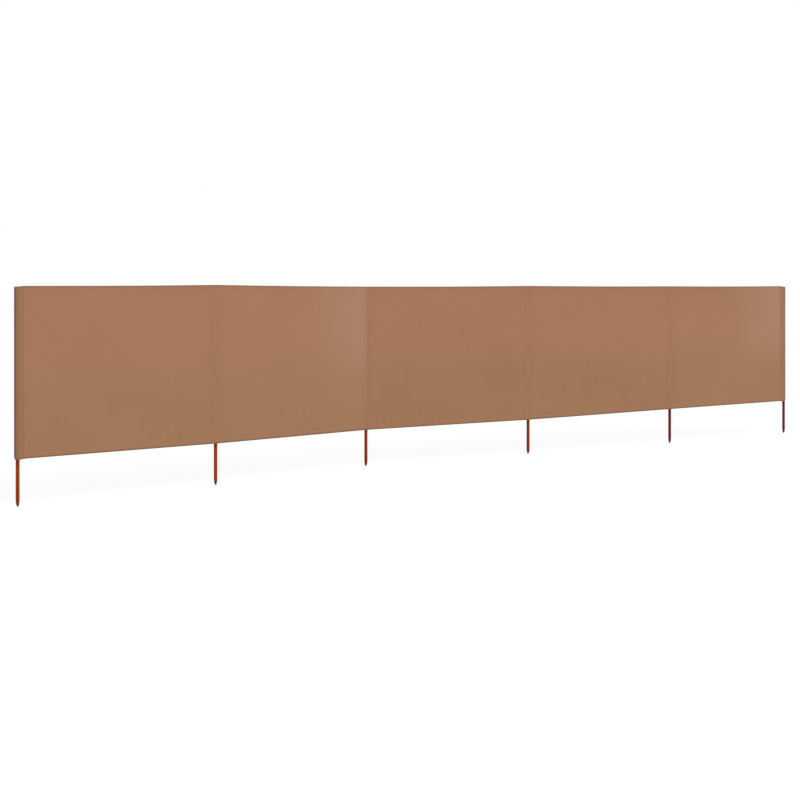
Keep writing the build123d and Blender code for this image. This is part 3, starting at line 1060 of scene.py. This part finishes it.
hem_front_rows = [
    row_along(cloth_surface, HEM_INSET, path_lengths[-1] - HEM_INSET, up) for up in (lower_front, upper_front)
]
hem_back_rows = [
    row_along(cloth_surface, start + SEAM_ALLOWANCE, stop - SEAM_ALLOWANCE, up)
    for up in (lower_back, upper_back)
    for start, stop in zip(bay_starts, bay_ends)
]
sleeve_front_rows = [
    row_up(cloth_surface, place, seam_low, seam_high) for place in np.concatenate([bay_starts, bay_ends])
]
sleeve_back_rows = [row_up(cloth_surface, place, seam_low, seam_high) for place in back_seams]
for fold in fold_marks:
    sleeve_front_rows.append(row_along(cloth_surface, fold - INNER_SEAM, fold + INNER_SEAM, strip_closing))
for surface, seams in strips.values():
    sleeve_back_rows.append(row_along(surface, *seams, strip_bottom_fold + STRIP_HEM_ROW))
    sleeve_back_rows.append(row_along(surface, *seams, strip_top_fold - CLOSING_ROW))
    for seam in seams:
        sleeve_back_rows.append(row_up(surface, seam, strip_low, strip_high))
for front_seam, back_seam, fold in zip(front_seams, back_seams, outer_folds):
    sleeve_front_rows.append(row_along(cloth_surface, *sorted([front_seam, fold]), end_closing))
    sleeve_back_rows.append(row_along(cloth_surface, *sorted([back_seam, fold]), end_closing))

stitches = [
    make_stitches("hem_stitches_front", hem_front_rows, thread),
    make_stitches("hem_stitches_back", hem_back_rows, thread),
    make_stitches("sleeve_stitches_front", sleeve_front_rows, thread),
    make_stitches("sleeve_stitches_back", sleeve_back_rows, thread),
]

# %% [markdown]
# ## Wood
# The poles are wood, stained red-brown. Long thin noise makes the fibres, and wider noise the darker late
# wood. Each pole took the stain differently, all carry a painted shadow just under the cloth, and all are
# darker at the tip.

# %% Stain the wood
WOOD_DARK = (0.265, 0.039, 0.0055, 1)
WOOD_LIGHT = (0.450, 0.076, 0.0125, 1)
STAIN_TINT = (0.55, 0.20, 0.10, 1)  # what the full stain leaves of the wood's colour
DAMP_TINT = (0.90, 0.87, 0.87, 1)
DAMP_HEIGHTS = (0.04, 0.20)  # all of it below the first, none above the second
UNDER_CLOTH_SHADOW_TINT = (0.60, 0.54, 0.54, 1)
UNDER_CLOTH_SHADOW_DEPTH = 0.045  # below the cloth, where the painted shadow begins to darken the wood towards it
TIP_DARK = (0.040, 0.012, 0.007, 1)
TIP_DARK_HEIGHTS = (-0.010, 0.012)
TIP_DARK_SHARE = 0.93
TIP_DARK_WANDER = 0.03  # how far noise lifts the edge of the dark tip
WOOD_ROUGHNESS = (0.80, 0.62)
GRAIN_ENDS = (0.38, 0.72)  # of the noise, where the wood is all dark and all light
GRAIN_HEIGHT = 0.0004
FIBRE_GRAINS = (900, 900, 9)
BAND_GRAINS = (190, 190, 2.5)
TIP_DARK_GRAINS = (220, 220, 40)


def pole_finish():
    """Red-brown stain over straight grain: long fibres, darker late wood, a painted shadow under the cloth
    and a darkened point."""
    finish, tree, shader = new_finish("stained_wood")
    place = add(tree, "TexCoord").outputs["Object"]
    fibres = stretched_noise(tree, place, FIBRE_GRAINS, detail=4.0)
    bands = stretched_noise(tree, place, BAND_GRAINS)
    grain = weighted(tree, (fibres, 0.5), (bands, 0.6))
    colour = mix_colours(tree, ramp(tree, grain, *GRAIN_ENDS), WOOD_DARK, WOOD_LIGHT)
    height = add(tree, "SeparateXYZ", {0: place}).outputs[2]
    damp = ramp(tree, height, *DAMP_HEIGHTS, 1.0, 0.0)
    # painted shadow of the cloth on the wood just below it
    ring = ramp(tree, height, cloth_bottom - UNDER_CLOTH_SHADOW_DEPTH, cloth_bottom)
    for share, tint in ((value_of(tree, "stain"), STAIN_TINT), (damp, DAMP_TINT), (ring, UNDER_CLOTH_SHADOW_TINT)):
        colour = mix_colours(tree, share, colour, tint, blend="MULTIPLY")
    # the point is made darker towards its end
    lift = calc(tree, "MULTIPLY", stretched_noise(tree, place, TIP_DARK_GRAINS, detail=4.0), TIP_DARK_WANDER)
    tip_dark = ramp(tree, calc(tree, "SUBTRACT", height, lift), *TIP_DARK_HEIGHTS, TIP_DARK_SHARE, 0.0)
    colour = mix_colours(tree, tip_dark, colour, TIP_DARK)
    roughness = ramp(tree, grain, 0.3, 0.8, *WOOD_ROUGHNESS)
    bump = add(tree, "Bump", {"Strength": 0.35, "Distance": GRAIN_HEIGHT, "Height": grain})
    fill(tree, shader, {"Base Color": colour, "Roughness": roughness, "Normal": bump.outputs[0],
                        "Specular IOR Level": 0.08})
    return finish


wood = pole_finish()
print("wood is finished as", wood.name)

# %% [markdown]
# ## Poles
# Each pole is a profile turned about the pole's axis, with a short blunt point. The point is an arc that
# meets the shank without a corner, and slight waves in the radius keep the outline from looking machined.

# %% Turn the poles
POINT_LENGTH = 0.030
POINT_END_RADIUS = 0.003
TOP_ROUND = 0.003
POLE_SIDES = 48
TURNING_WAVE = 0.00012
TURNING_RISE = 11.0  # how far its wave turns in a metre of height
TIP_WEAR = 0.0005
TIP_WEAR_RISE = 90.0  # the same for the wear's wave
TIP_WEAR_REACH = 0.012
POLE_STAINS = (0.0, 0.1, 0.45, 0.5, 0.9, 0.9)  # each pole took the stain a little differently


def pole_radii(heights, length):
    """Radius of a pole at each height.

    The point's arc has its centre level with the shoulder, and its radius is half of (p^2 + d^2) / d, where
    p is the point's length and d what the radius grows by. The top is a quarter round.
    """
    growth = pole_radius - POINT_END_RADIUS
    arc_radius = (POINT_LENGTH**2 + growth**2) / (2 * growth)
    below = np.clip(POINT_LENGTH - heights, 0, None)
    point = pole_radius - arc_radius + np.sqrt(arc_radius**2 - below**2)
    above = np.clip(heights - length + TOP_ROUND, 0, TOP_ROUND)
    return point - TOP_ROUND + np.sqrt(TOP_ROUND**2 - above**2)


pole_length = pole_high.z
pole_heights = graded(0, pole_length, [0, POINT_LENGTH, pole_length], fine=0.0012, coarse=0.02, reach=0.1)
pole_turn = np.linspace(0, 2 * np.pi, POLE_SIDES, endpoint=False)[:, None]
for number, (x, y) in enumerate(poles, start=1):
    # A slightly oval shank and a worn, three-sided tip, turned differently on each pole
    oval = TURNING_WAVE * np.sin(2 * pole_turn + 3 * number) * np.sin(TURNING_RISE * pole_heights + number)
    wear_and_painted_light = TIP_WEAR * np.sin(3 * pole_turn + 2 * number + TIP_WEAR_RISE * pole_heights)
    radii = pole_radii(pole_heights, pole_length) + oval + wear_and_painted_light * np.exp(-pole_heights / TIP_WEAR_REACH)
    heights = np.broadcast_to(pole_heights, radii.shape)
    ring = np.stack([x + radii * np.cos(pole_turn), y + radii * np.sin(pole_turn), heights], axis=-1)
    rows = len(pole_heights)
    corners = np.arange(POLE_SIDES) * rows
    pole = make_piece(
        f"wood_pole_{number}", ring, grid_faces(POLE_SIDES, rows, ring=True), wood,
        caps=(corners[::-1], corners + rows - 1),
    )
    add_values(pole, radii.shape, stain=POLE_STAINS[number - 1])
    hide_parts(f"pole_{number}")
